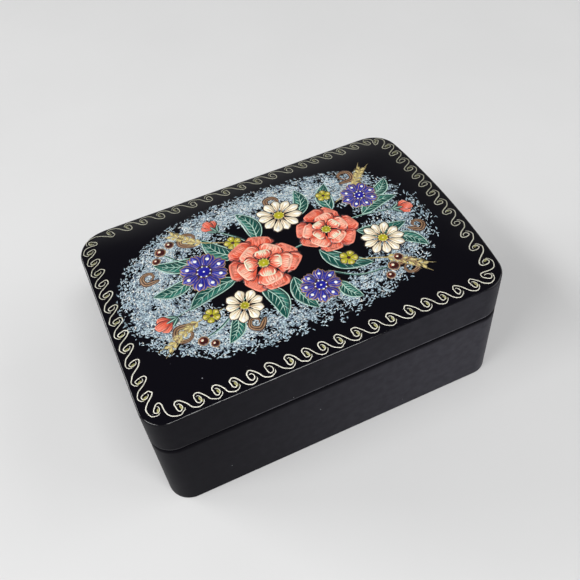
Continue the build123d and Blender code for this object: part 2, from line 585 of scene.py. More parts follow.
class Curve:
    """A smooth line in plan through a few points, in millimetres."""

    span_steps = 10
    part_steps = 4
    flank_steps = 9
    fine_steps = 24

    def __init__(self, points: Iterable[Iterable[float]]) -> None:
        """Draw the line.

        Args:
            points: What it passes. Two of them make a straight line.
        """
        knots = [Vector(point) for point in points]
        if len(knots) == 2:
            self.line = knots
            return
        self.line = knots[:1]
        padded = [2 * knots[0] - knots[1], *knots, 2 * knots[-1] - knots[-2]]
        for before, start, end, after in zip(padded, padded[1:], padded[2:], padded[3:]):
            pull, push = (end - before) * 0.5, (after - start) * 0.5
            for step in range(1, self.span_steps + 1):
                share = step / self.span_steps
                twice, thrice = share * share, share * share * share
                self.line.append(
                    start * (2 * thrice - 3 * twice + 1) + pull * (thrice - 2 * twice + share)
                    + end * (3 * twice - 2 * thrice) + push * (thrice - twice)
                )

    def length(self) -> float:
        """The line's length in millimetres."""
        return sum((end - start).length for start, end in zip(self.line, self.line[1:]))

    def spaced(self, count: int) -> list[tuple[Vector, Vector]]:
        """Even places along the line, each with the direction to its left.

        Args:
            count: Number of spans between the places.

        Returns:
            The places and the directions.
        """
        step, travelled, places = self.length() / count, 0.0, [self.line[0]]
        for start, end in zip(self.line, self.line[1:]):
            span = (end - start).length
            while len(places) < count and travelled + span >= step * len(places):
                places.append(start.lerp(end, (step * len(places) - travelled) / span))
            travelled += span
        places.append(self.line[-1])
        result = []
        for place, before, after in zip(places, [places[0], *places], [*places[1:], places[-1]]):
            ahead = (after - before).normalized()
            result.append((place, Vector((-ahead.y, ahead.x))))
        return result

    @cached_property
    def fine(self) -> list[tuple[Vector, Vector]]:
        """Close even places along the line."""
        return self.spaced(self.fine_steps)

    def part(self, first: float, last: float) -> "Curve":
        """The stretch of this line between two shares of its length."""
        shares = [first + (last - first) * step / self.part_steps for step in range(self.part_steps + 1)]
        return Curve([self.fine[round(share * self.fine_steps)][0] for share in shares])

    def flank(
        self, width: float, taper: Taper, side: float, first: float = 0.0, last: float = 1.0
    ) -> list[Vector]:
        """Points along one side of a stroke on this line.

        Args:
            width: The stroke's full width.
            taper: How its width runs.
            side: 1 for the left edge, -1 for the right, less for a line between.
            first: Share of the length where the points start.
            last: Share of the length where they end.

        Returns:
            The points.
        """
        points = []
        for step in range(self.flank_steps + 1):
            spot = round((first + (last - first) * step / self.flank_steps) * self.fine_steps)
            place, left = self.fine[spot]
            points.append(place + left * side * width / 2 * taper.share(spot / self.fine_steps))
        return points


def bowed(start: Point, end: Point, bend: float) -> Curve:
    """A line between two points, with its middle pushed aside.

    Args:
        start: Where it starts.
        end: Where it ends.
        bend: How far its middle is pushed to its left, as a share of its length.

    Returns:
        The line.
    """
    first, last = Vector(start), Vector(end)
    across = Vector((first.y - last.y, last.x - first.x))
    return Curve([first, (first + last) / 2 + across * bend, last])


class LidTop:
    """The lid's crowned top as packed, on which the paint lies."""

    def __init__(self) -> None:
        """Read the top plate for heights."""
        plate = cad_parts["lid_plate"].data
        points = [vertex.co.copy() for vertex in plate.vertices]
        self.tree = BVHTree.FromPolygons(points, [tuple(face.vertices) for face in plate.polygons])
        self.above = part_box("lid_plate")[1].z + MM

    def height(self, place: Vector) -> float:
        """Find how high the top is.

        Args:
            place: The place in plan, in millimetres.

        Returns:
            The height in metres.
        """
        start = Vector((place.x * MM, place.y * MM, self.above))
        hit = self.tree.ray_cast(start, Vector((0, 0, -1)))[0]
        return hit.z if hit else self.tree.find_nearest(start)[0].z


class Paintwork:
    """Paint laid on the lid as closed, thin strokes, gathered into one piece.

    Lengths are in millimetres. Each coat lies a little higher than the one before it.
    """

    first_lift = 0.010
    coat_lift = 0.0015
    sunk = 0.006
    least_half_width = 0.02
    order_weights = Vector((1.0, 100.0, -10000.0))

    def __init__(self, name: str, slot: str, top: LidTop, hand: random.Random, coat: int = 0) -> None:
        """Start an empty piece.

        Args:
            name: The piece's name.
            slot: Not used.
            top: What it lies on.
            hand: The unsteadiness of the brush.
            coat: The coat that it starts from.
        """
        self.name, self.slot, self.top, self.hand, self.coat = name, slot, top, hand, coat
        self.form = bmesh.new()
        self.scratch = bpy.data.meshes.new(f"{name}_scratch")
        self.blanks: dict[Cells, bmesh.types.BMesh] = {}
        self.pigments: list[Pigment] = []
        self.strokes = 0

    def blank(self, cells: Cells) -> bmesh.types.BMesh:
        """A flat strip with a top, an underside and sides, from -1 to 1 both ways.

        Args:
            cells: Cells along and across it.

        Returns:
            The strip, whose underside lies one below its top.
        """
        if cells not in self.blanks:
            strip = bmesh.new()
            bmesh.ops.create_grid(strip, x_segments=cells[0], y_segments=cells[1], size=1.0)
            raised = bmesh.ops.extrude_face_region(strip, geom=strip.faces[:], use_keep_orig=True)
            corners = [part for part in raised["geom"] if isinstance(part, bmesh.types.BMVert)]
            bmesh.ops.translate(strip, verts=corners, vec=Vector((0, 0, -1)))
            bmesh.ops.recalc_face_normals(strip, faces=strip.faces[:])
            strip.normal_update()
            # The sides come out in chance order, and each run has to give the same piece.
            strip.faces.sort(key=self.order)
            for face in strip.faces:
                face.smooth = face.normal.z > 0.5
            self.blanks[cells] = strip
        return self.blanks[cells]

    def order(self, face: bmesh.types.BMFace) -> float:
        """What a blank's faces are sorted by: from its top down, and row by row."""
        return face.calc_center_median().dot(self.order_weights)

    def stroke(
        self, path: Curve, width: float, pigment: Pigment, taper: Taper, cells: Cells, crest: float = 0.0
    ) -> None:
        """Lay one stroke along a path.

        Args:
            path: The stroke's middle line.
            width: Its full width.
            pigment: Its paint.
            taper: How the width runs along it.
            cells: Cells along and across it.
            crest: How far the middle stands above the edges.
        """
        form = self.blank(cells).copy()
        if pigment not in self.pigments:
            self.pigments.append(pigment)
        paint = self.pigments.index(pigment)
        lift = self.first_lift + self.coat * self.coat_lift
        places = path.spaced(cells[0])
        for corner in form.verts:
            share, side = (corner.co.x + 1) / 2, corner.co.y
            place, left = places[round(share * cells[0])]
            half = max(width / 2 * taper.share(share), self.least_half_width)
            spot = place + left * half * side
            rise = -self.sunk if corner.co.z < 0 else lift + crest * (1 - side * side)
            corner.co = (spot.x * MM, spot.y * MM, self.top.height(spot) + rise * MM)
        for face in form.faces:
            face.material_index = paint
        form.to_mesh(self.scratch)
        form.free()
        self.form.from_mesh(self.scratch)
        self.strokes += 1

    def layer(self, path: Curve, width: float, pigment: Pigment, taper: Taper, cells: Cells) -> None:
        """Lay one stroke and go on with the next coat."""
        self.stroke(path, width, pigment, taper, cells)
        self.coat += 1

    def dab(self, middle: Vector, half: Vector, width: float, pigment: Pigment, cells: Cells) -> None:
        """Lay one short oval stroke, half on each side of its middle."""
        self.stroke(Curve([middle - half, middle + half]), width, pigment, Taper.OVAL, cells)

    def dot(self, middle: Iterable[float], radius: float, pigment: Pigment, cells: Cells) -> None:
        """Lay a round dab."""
        self.dab(Vector(middle), Vector((radius, 0.0)), 2 * radius, pigment, cells)

    def angles(self, start: float, count: int, stray: float, stride: int = 1) -> Iterator[float]:
        """Angles round a flower, each off by a chance stray, and given by strides of so many."""
        for step in range(count):
            yield start + FULL_TURN * (step * stride % count) / count + self.stray(stray)

    def stray(self, reach: float) -> float:
        """A random amount up to a reach either way."""
        return self.hand.uniform(-reach, reach)

    def factor(self, spread: float) -> float:
        """A random factor up to a spread above or below one."""
        return self.hand.uniform(1 - spread, 1 + spread)

    def finish(self) -> None:
        """Turn the strokes into a piece that rides on the lid."""
        mesh = bpy.data.meshes.new(self.name)
        self.form.to_mesh(mesh)
        self.form.free()
        for blank in self.blanks.values():
            blank.free()
        bpy.data.meshes.remove(self.scratch)
        piece = placed(self.name, mesh)
        for pigment in self.pigments:
            mesh.materials.append(pigment.material())
        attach(piece, "lid")
        LOG.info("%s: %d strokes, %d faces", self.name, self.strokes, len(mesh.polygons))


@dataclass(frozen=True)
class ScrollPlace:
    """Where one scroll sits: its head's middle, and the angle at which the border travels there."""

    head: Vector
    travel: float

    def spot(self, along: float, inward: float) -> Vector:
        """A place in plan from its measures in the scroll's own directions."""
        ahead = Vector((math.cos(self.travel), math.sin(self.travel)))
        return self.head + ahead * along + Vector((-ahead.y, ahead.x)) * inward


@dataclass(frozen=True)
class ScrollBorder:
    """The running scroll in gold line round the lid's top, anticlockwise from the front left corner."""

    seed: int = 11
    near_width: float = 0.255
    far_width: float = 0.24
    width_shares: Span = (0.88, 1.12)
    line_crest: float = 0.012
    usual_pitch: float = 4.15
    # A scroll closer to the next than this share of the usual pitch is drawn narrower.
    close_share: float = 1.05
    swelling: Span = (0.92, 1.07)
    wobble: float = 0.035
    front_y: float = -28.35
    back_y: float = 28.2
    left_x: float = -41.45
    right_x: float = 42.15
    right_bow: float = 1.5
    right_lean: float = 0.012
    bow_reach: float = 27.0
    front_x: tuple[float, ...] = (
        -36.1, -31.8, -27.6, -23.6, -19.6, -15.3, -10.6, -6.6, -2.7, 1.4, 5.6, 10.1, 14.4, 19.1, 23.5, 27.8,
        31.8, 36.2,
    )
    right_y: tuple[float, ...] = (
        -24.2, -19.2, -14.5, -10.1, -5.7, -1.7, 2.1, 6.0, 9.5, 13.1, 16.9, 20.5, 24.0,
    )
    back_x: tuple[float, ...] = (
        39.0, 35.2, 31.0, 27.0, 23.0, 19.4, 15.2, 10.4, 6.0, 1.4, -3.2, -8.1, -12.5, -17.3, -21.5, -26.2,
        -30.3, -35.1,
    )
    left_y: tuple[float, ...] = (24.4, 20.6, 16.7, 12.7, 8.8, 4.2, -0.1, -4.3, -8.6, -13.3, -18.3, -22.6)
    corners: tuple[Point, ...] = ((-40.4, -26.7), (40.2, -27.8), (41.3, 27.2), (-40.3, 27.3))
    # One scroll from its eye to the next eye: along the travel and inward from its head's middle.
    scroll: tuple[Point, ...] = (
        (-0.19, 0.42), (0.19, 0.46), (0.56, 0.14), (0.72, -0.37), (0.56, -0.88), (0.0, -1.13), (-0.42, -0.74),
        (-0.60, 0.0), (-0.67, 0.60), (-0.46, 1.06), (0.0, 1.28), (0.65, 1.06), (1.30, 0.42), (1.85, -0.37),
        (2.40, -1.20), (3.06, -1.67), (3.98, -1.97), (4.72, -1.67), (5.19, -1.20), (5.28, -0.74),
    )
    scroll_cells: Cells = (56, 2)
    puddle: tuple[Point, ...] = ((0.20, 0.15), (0.45, -0.30), (0.62, -0.75), (0.60, -1.15))
    puddle_width: float = 0.62
    puddle_crest: float = 0.008
    puddle_cells: Cells = (6, 2)
    puddle_chance: float = 0.8

    def right_edge(self, y: float) -> float:
        """Where the heads stand along the bowed right side, a little farther in at the front."""
        return self.right_x + self.right_bow * (1 - (y / self.bow_reach) ** 2) + self.right_lean * y

    def places(self) -> Iterator[ScrollPlace]:
        """Every scroll's place, in order round the lid.

        Yields:
            The places, a corner's before each side's.
        """
        sides = (
            [(x, self.front_y) for x in self.front_x],
            [(self.right_edge(y), y) for y in self.right_y],
            [(x, self.back_y) for x in self.back_x],
            [(self.left_x, y) for y in self.left_y],
        )
        for turn, (corner, heads) in enumerate(zip(self.corners, sides)):
            yield ScrollPlace(Vector(corner), (turn - 0.5) * FULL_TURN / 4)
            for head in heads:
                yield ScrollPlace(Vector(head), turn * FULL_TURN / 4)

    def shaped(
        self, place: ScrollPlace, following: ScrollPlace, points: Iterable[Point], hand: random.Random
    ) -> Curve:
        """Fit points of a scroll between two places, with an unsteady hand.

        Args:
            place: The scroll's own place.
            following: The next scroll's place.
            points: Points of the pattern.
            hand: The unsteadiness.

        Returns:
            The fitted line.
        """
        pitch = (following.head - place.head).length
        narrow = min(1, pitch / self.usual_pitch * self.close_share)
        swollen = hand.uniform(*self.swelling)
        fitted = []
        for along, inward in points:
            near = place.spot(along * narrow * swollen, inward * swollen)
            far = following.spot((along - self.usual_pitch) * narrow, inward)
            share = min(1.0, max(0.0, along / self.usual_pitch))
            spot = near.lerp(far, share * share * (3 - 2 * share))
            fitted.append(spot + Vector((hand.gauss(0, self.wobble), hand.gauss(0, self.wobble))))
        return Curve(fitted)

    def build(self, top: LidTop) -> None:
        """Draw the border.

        Args:
            top: The lid's top.
        """
        hand = random.Random(self.seed)
        work = Paintwork("scroll_border", "gold_paint", top, hand)
        places = list(self.places())
        for place, following in zip(places, [*places[1:], places[0]]):
            line = self.shaped(place, following, self.scroll, hand)
            near = place.head.y < 0 or place.head.x < self.left_x + self.usual_pitch
            width = (self.near_width if near else self.far_width) * hand.uniform(*self.width_shares)
            work.coat = 1
            work.stroke(line, width, Pigment.LINE, Taper.LINE, self.scroll_cells, self.line_crest)
            if hand.random() < self.puddle_chance:
                work.coat = 0
                blot = self.shaped(place, following, self.puddle, hand)
                work.stroke(
                    blot, self.puddle_width, Pigment.PUDDLE, Taper.OVAL, self.puddle_cells, self.puddle_crest
                )
        work.finish()


@dataclass(frozen=True)
class Leaf:
    """A painted leaf: a dark body, a lighter half, a pale edge, a midrib and veins."""

    base: Point
    tip: Point
    width: float
    bend: float
    edge_width: float = 0.24
    rib_width: float = 0.26
    vein_width: float = 0.17
    veins: int = 5

    def paint(self, work: Paintwork) -> None:
        """Paint the leaf.

        Args:
            work: What it is painted into.
        """
        spine = bowed(self.base, self.tip, self.bend)
        work.layer(spine, self.width, Pigment.GREEN, Taper.LEAF, (12, 4))
        inner, outer = (spine.flank(self.width, Taper.LEAF, side, 0.1, 0.9) for side in (0.15, 0.85))
        lit = Curve([(near + far) / 2 for near, far in zip(inner, outer)])
        work.layer(lit, self.width * 0.26, Pigment.SEA, Taper.LEAF, (12, 1))
        for side in (-1, 1):
            edge = Curve(spine.flank(self.width, Taper.LEAF, side))
            width = self.edge_width * work.factor(0.15)
            work.stroke(edge, width, Pigment.CELADON, Taper.LINE, (18, 1))
        work.stroke(spine.part(0.0, 0.92), self.rib_width, Pigment.CELADON, Taper.COMMA, (12, 1))
        for vein in range(self.veins):
            share = 0.16 + 0.62 * vein / self.veins
            root = spine.fine[round(share * spine.fine_steps)][0]
            for side in (-1, 1):
                rim = spine.flank(self.width, Taper.LEAF, side * 0.78, share + 0.1, 1.0)[1]
                work.stroke(Curve([root, rim]), self.vein_width, Pigment.CELADON, Taper.COMMA, (4, 1))


@dataclass(frozen=True)
class Stem:
    """A thin stem with a lit side."""

    points: tuple[Point, ...]
    width: float = 0.55

    def paint(self, work: Paintwork) -> None:
        """Paint the stem.

        Args:
            work: What it is painted into.
        """
        line = Curve(self.points)
        work.layer(line, self.width, Pigment.GREEN, Taper.LINE, (30, 1))
        lit = Curve([place + left * self.width * 0.28 for place, left in line.spaced(12)])
        width = self.width * 0.3 * work.factor(0.1)
        work.stroke(lit, width, Pigment.CELADON, Taper.LINE, (30, 1))


@dataclass(frozen=True)
class Tendril:
    """A curling lock of fine parallel hairs, brown with a tan light."""

    root: Point
    angle: float
    size: float
    turns: float = 1.15
    tightening: float = 0.72
    steps: int = 14
    width: float = 1.5
    hairs: int = 5
    hair_width: float = 0.2

    def paint(self, work: Paintwork) -> None:
        """Paint the tendril.

        Args:
            work: What it is painted into.
        """
        ahead = math.radians(self.angle)
        way = math.copysign(1, self.turns)
        middle = polar(self.root, self.size, ahead + way * FULL_TURN / 4)
        points = [polar(self.root, -self.size * 1.6, ahead - way * 0.5)]
        for step in range(self.steps + 1):
            share = step / self.steps
            turned = ahead - way * FULL_TURN / 4 + share * self.turns * FULL_TURN
            points.append(polar(middle, self.size * (1 - self.tightening * share), turned))
        lock = Curve(points)
        work.layer(lock, self.width, Pigment.BROWN, Taper.COMMA, (40, 2))
        for hair in range(self.hairs):
            side = -0.85 + 1.7 * hair / (self.hairs - 1)
            strand = Curve(lock.flank(self.width, Taper.COMMA, side, 0.02, 0.97))
            pigment = Pigment.TAN if hair % 2 else Pigment.UMBER
            work.stroke(strand, self.hair_width * work.factor(0.2), pigment, Taper.COMMA, (36, 1))


@dataclass(frozen=True)
class WheatEar:
    """An ear of grain in ochre, with awns. Each grain has a light, and an awn beyond its tip."""

    root: Point
    tip: Point
    bend: float
    grains: int = 8
    stalk_width: float = 0.32
    grain_width: float = 0.95
    grain_length: float = 1.9
    light_width: float = 0.34
    light_reach: Span = (0.5, 1.6)
    awn_width: float = 0.14
    awn_reach: Span = (1.8, 3.6)

    def paint(self, work: Paintwork) -> None:
        """Paint the ear.

        Args:
            work: What it is painted into.
        """
        stalk = bowed(self.root, self.tip, self.bend)
        work.layer(stalk, self.stalk_width, Pigment.OCHRE, Taper.LINE, (20, 1))
        for grain in range(self.grains):
            share = 0.42 + 0.56 * grain / self.grains
            place, left = stalk.fine[round(share * stalk.fine_steps)]
            ahead = math.atan2(-left.x, left.y)
            for side in (-1, 1):
                lean = ahead + side * work.hand.uniform(0.45, 0.62)
                kernel = Curve([place, polar(place, self.grain_length, lean)])
                light = Curve([polar(place, reach, lean) for reach in self.light_reach])
                start, end = self.awn_reach
                awn = Curve([polar(place, start, lean), polar(place, end, lean - side * 0.15)])
                work.layer(kernel, self.grain_width, Pigment.OCHRE, Taper.DROP, (5, 2))
                work.stroke(light, self.light_width, Pigment.STRAW, Taper.DROP, (4, 1))
                work.stroke(awn, self.awn_width, Pigment.OCHRE, Taper.COMMA, (4, 1))
                work.coat -= 1


@dataclass(frozen=True)
class Berry:
    """A round berry with a rim and a glint. Its inner sizes are shares of its radius."""

    centre: Point
    radius: float
    inner_share: float = 0.82
    glint_half_length: float = 0.2624
    glint_width: float = 0.52
    gleam_angles: tuple[float, ...] = (1.2, 1.9, 2.6, 3.3)

    def paint(self, work: Paintwork) -> None:
        """Paint the berry.

        Args:
            work: What it is painted into.
        """
        radius = self.radius
        for size, pigment in ((radius, Pigment.TAN), (radius * self.inner_share, Pigment.MAROON)):
            work.dot(self.centre, size, pigment, (10, 4))
            work.coat += 1
        gleam = Curve([polar(self.centre, radius * 0.5, angle) for angle in self.gleam_angles])
        work.stroke(gleam, radius * 0.22, Pigment.BRICK, Taper.LEAF, (8, 1))
        glint = polar(self.centre, radius * 0.28, 2.0 + work.stray(0.2))
        half = Vector((radius * self.glint_half_length, 0.0))
        work.dab(glint, half, radius * self.glint_width, Pigment.CREAM, (6, 2))


@dataclass(frozen=True)
class Petal:
    """One petal, laid as a body, an inner tone, fine lights drawn in from the rim, and an outline."""

    centre: Point
    angle: float
    start: float
    reach: float
    breadth: float
    sway: float
    paints: Paints
    hairs: int = 6
    outline: float = 0.26
    vein_width: float = 0.3

    def paint(self, work: Paintwork) -> None:
        """Paint the petal.

        Args:
            work: What it is painted into.
        """
        body, tone, light, edge = self.paints
        spine = Curve([
            polar(self.centre, self.start, self.angle),
            polar(self.centre, (self.start + self.reach) / 2, self.angle + self.sway),
            polar(self.centre, self.reach, self.angle),
        ])
        inner = self.breadth * 0.8
        cells = (max(8, math.ceil(spine.length() * 1.4)), max(4, math.ceil(self.breadth * 1.1)))
        work.layer(spine, self.breadth + 2 * self.outline, edge, Taper.PETAL, cells)
        work.layer(spine.part(0.0, 0.96), self.breadth, body, Taper.PETAL, cells)
        work.layer(spine.part(0.2, 0.93), self.breadth * 0.74, tone, Taper.PETAL, cells)
        left, right = (spine.flank(inner, Taper.PETAL, side, 0.5, 0.93) for side in (1, -1))
        rim = Curve([*left, *reversed(right)][::2])
        work.stroke(rim, self.breadth * 0.1 + 0.12, light, Taper.LEAF, (22, 1))
        for hair in range(self.hairs):
            side = -0.62 + 1.24 * (hair + 0.5) / self.hairs + work.stray(0.06)
            depth = 0.62 - 0.22 * abs(side) + work.stray(0.06)
            track = spine.flank(inner, Taper.PETAL, side, 0.9, 0.9 - depth * 0.75)
            work.stroke(Curve(track[::3]), self.breadth * 0.07 + 0.1, light, Taper.COMMA, (8, 1))
        for side in (-0.45, 0.0, 0.45):
            track = spine.flank(self.breadth, Taper.PETAL, side, 0.04, 0.42 + work.stray(0.05))
            work.stroke(Curve(track[::3]), self.vein_width, edge, Taper.COMMA, (8, 1))
        work.coat += 1


@dataclass(frozen=True)
class Heart:
    """A flower's heart: a small disc with a ring of dots and one in the middle."""

    centre: Point
    radius: float
    disc: Pigment
    stamen: Pigment
    dots: int = 9
    dot_radius: float = 0.2
    middle_half_length: float = 0.26
    middle_width: float = 0.5

    def paint(self, work: Paintwork) -> None:
        """Paint the heart.

        Args:
            work: What it is painted into.
        """
        for size, pigment in ((1.25, Pigment.MAROON), (1.0, self.disc)):
            work.dot(self.centre, self.radius * size, pigment, (10, 4))
            work.coat += 1
        for angle in work.angles(0.0, self.dots, 0.1):
            work.dot(polar(self.centre, self.radius * 0.98, angle), self.dot_radius, self.stamen, (4, 2))
        middle = Vector((self.middle_half_length, 0.0))
        work.dab(Vector(self.centre), middle, self.middle_width, self.stamen, (4, 2))


@dataclass(frozen=True)
class Rose:
    """A full rose: three rings of overlapping petals round a golden heart."""

    centre: Point
    radius: float
    turn: float
    # Each ring has a number of petals, a start, a reach and a breadth as shares of the radius, the petals'
    # lights, and paints.
    rings: tuple[tuple[int, float, float, float, int, Paints], ...] = (
        (7, 0.42, 1.0, 0.80, 7, (Pigment.BRICK, Pigment.CORAL, Pigment.SALMON, Pigment.MAROON)),
        (5, 0.22, 0.76, 0.72, 5, (Pigment.CORAL, Pigment.SALMON, Pigment.BLUSH, Pigment.MAROON)),
        (4, 0.08, 0.50, 0.50, 5, (Pigment.CORAL, Pigment.SALMON, Pigment.CREAM, Pigment.MAROON)),
    )
    ring_turn: float = 0.5
    heart_share: float = 0.15

    def paint(self, work: Paintwork) -> None:
        """Paint the rose.

        Args:
            work: What it is painted into.
        """
        for ring, (count, start, reach, breadth, hairs, paints) in enumerate(self.rings):
            for angle in work.angles(self.turn + ring * self.ring_turn, count, 0.08):
                size = self.radius * work.factor(0.05)
                sizes = (share * size for share in (start, reach, breadth))
                Petal(self.centre, angle, *sizes, work.stray(0.12), paints, hairs).paint(work)
        Heart(self.centre, self.radius * self.heart_share, Pigment.OLIVE, Pigment.STRAW).paint(work)


@dataclass(frozen=True)
class Daisy:
    """A cream daisy with narrow petals, shaded at their roots."""

    centre: Point
    radius: float
    turn: float
    count: int = 11
    breadth_share: float = 4.2
    outline: float = 0.25
    vein_width: float = 0.2
    heart_share: float = 0.22

    def paint(self, work: Paintwork) -> None:
        """Paint the daisy.

        Args:
            work: What it is painted into.
        """
        breadth = self.radius * self.breadth_share / self.count
        for angle in work.angles(self.turn, self.count, 0.05, 2):
            reach = self.radius * work.hand.uniform(0.92, 1.05)
            spine = Curve([
                polar(self.centre, self.radius * 0.15, angle),
                polar(self.centre, reach * 0.6, angle + work.stray(0.05)),
                polar(self.centre, reach, angle),
            ])
            work.layer(spine, breadth + 2 * self.outline, Pigment.UMBER, Taper.DROP, (10, 3))
            work.layer(spine.part(0.0, 0.96), breadth, Pigment.CREAM, Taper.DROP, (10, 3))
            for side in (-0.4, 0.4):
                vein = Curve(spine.flank(breadth, Taper.DROP, side, 0.1, 0.72)[::3])
                work.stroke(vein, self.vein_width, Pigment.TAN, Taper.COMMA, (7, 1))
            work.layer(spine.part(0.45, 0.9), breadth * 0.4, Pigment.WHITE, Taper.DROP, (6, 1))
        Heart(self.centre, self.radius * self.heart_share, Pigment.OLIVE, Pigment.STRAW).paint(work)


@dataclass(frozen=True)
class Cornflower:
    """An ultramarine flower with three-toothed florets, pale lights and white dots."""

    centre: Point
    radius: float
    turn: float
    florets: int = 8
    tooth_spread: float = 0.2
    outline: float = 0.18
    dot_share: float = 0.075
    # After a floret's nine coats the next one starts six lower, and the heart lies above them all.
    sunk_coats: int = 6
    heart_coats: int = 12
    heart_share: float = 0.27
    heart_dots: int = 8

    def paint(self, work: Paintwork) -> None:
        """Paint the cornflower.

        Args:
            work: What it is painted into.
        """
        breadth = self.radius * 0.30
        for angle in work.angles(self.turn, self.florets, 0.05):
            for tooth, share in ((-1, 0.94), (1, 0.94), (0, 1.0)):
                reach = self.radius * share * work.factor(0.04)
                tip = polar(self.centre, reach, angle + tooth * self.tooth_spread)
                spine = Curve([polar(self.centre, self.radius * 0.12, angle), tip])
                work.layer(spine, breadth + 2 * self.outline, Pigment.TAN, Taper.DROP, (8, 2))
                work.layer(spine.part(0.0, 0.97), breadth, Pigment.ULTRAMARINE, Taper.DROP, (8, 2))
                work.layer(spine.part(0.3, 0.9), breadth * 0.26, Pigment.CORNFLOWER, Taper.DROP, (6, 1))
            spot = polar(self.centre, self.radius * 0.68, angle)
            work.dot(spot, self.radius * self.dot_share, Pigment.WHITE, (6, 2))
            work.coat -= self.sunk_coats
        work.coat += self.heart_coats
        heart_radius = self.radius * self.heart_share
        Heart(self.centre, heart_radius, Pigment.ULTRAMARINE, Pigment.WHITE, self.heart_dots).paint(work)


@dataclass(frozen=True)
class Bud:
    """A half-open coral bud in a green cup."""

    root: Point
    angle: float
    length: float
    paints: Paints = (Pigment.BRICK, Pigment.CORAL, Pigment.SALMON, Pigment.MAROON)
    # How far each petal leans and its share of the bud's length.
    petals: tuple[Span, ...] = ((-0.42, 0.86), (0.42, 0.86), (0.0, 1.0))
    petal_start: float = 0.2
    petal_breadth: float = 0.46
    petal_outline: float = 0.2
    cup_leans: tuple[float, ...] = (-0.75, 0.0, 0.75)
    cup_width: float = 1.0
    cup_light_width: float = 0.2

    def paint(self, work: Paintwork) -> None:
        """Paint the bud.

        Args:
            work: What it is painted into.
        """
        ahead = math.radians(self.angle)
        for lean, share in self.petals:
            sizes = (self.petal_start, self.length * share, self.length * self.petal_breadth)
            Petal(self.root, ahead + lean, *sizes, -lean / 4, self.paints, 3, self.petal_outline).paint(work)
        for lean in self.cup_leans:
            cup = Curve([polar(self.root, -0.5, ahead), polar(self.root, self.length * 0.5, ahead + lean)])
            work.layer(cup, self.cup_width, Pigment.GREEN, Taper.LEAF, (8, 2))
            work.layer(cup.part(0.1, 0.9), self.cup_light_width, Pigment.CELADON, Taper.LINE, (8, 1))


@dataclass(frozen=True)
class Blossom:
    """A small five-petalled filler flower."""

    centre: Point
    radius: float
    turn: float
    petals: int = 5
    heart_share: float = 0.2

    def paint(self, work: Paintwork) -> None:
        """Paint the blossom.

        Args:
            work: What it is painted into.
        """
        for angle in work.angles(self.turn, self.petals, 0.08):
            spine = Curve([self.centre, polar(self.centre, self.radius, angle)])
            work.layer(spine, self.radius * 0.95, Pigment.UMBER, Taper.PETAL, (6, 3))
            work.layer(spine.part(0.05, 0.92), self.radius * 0.72, Pigment.OLIVE, Taper.PETAL, (6, 3))
            work.layer(spine.part(0.45, 0.85), self.radius * 0.26, Pigment.STRAW, Taper.PETAL, (4, 1))
        work.dot(self.centre, self.radius * self.heart_share, Pigment.MAROON, (6, 2))


Motif = Leaf | Stem | Tendril | WheatEar | Berry | Bud | Blossom | Cornflower | Daisy | Rose


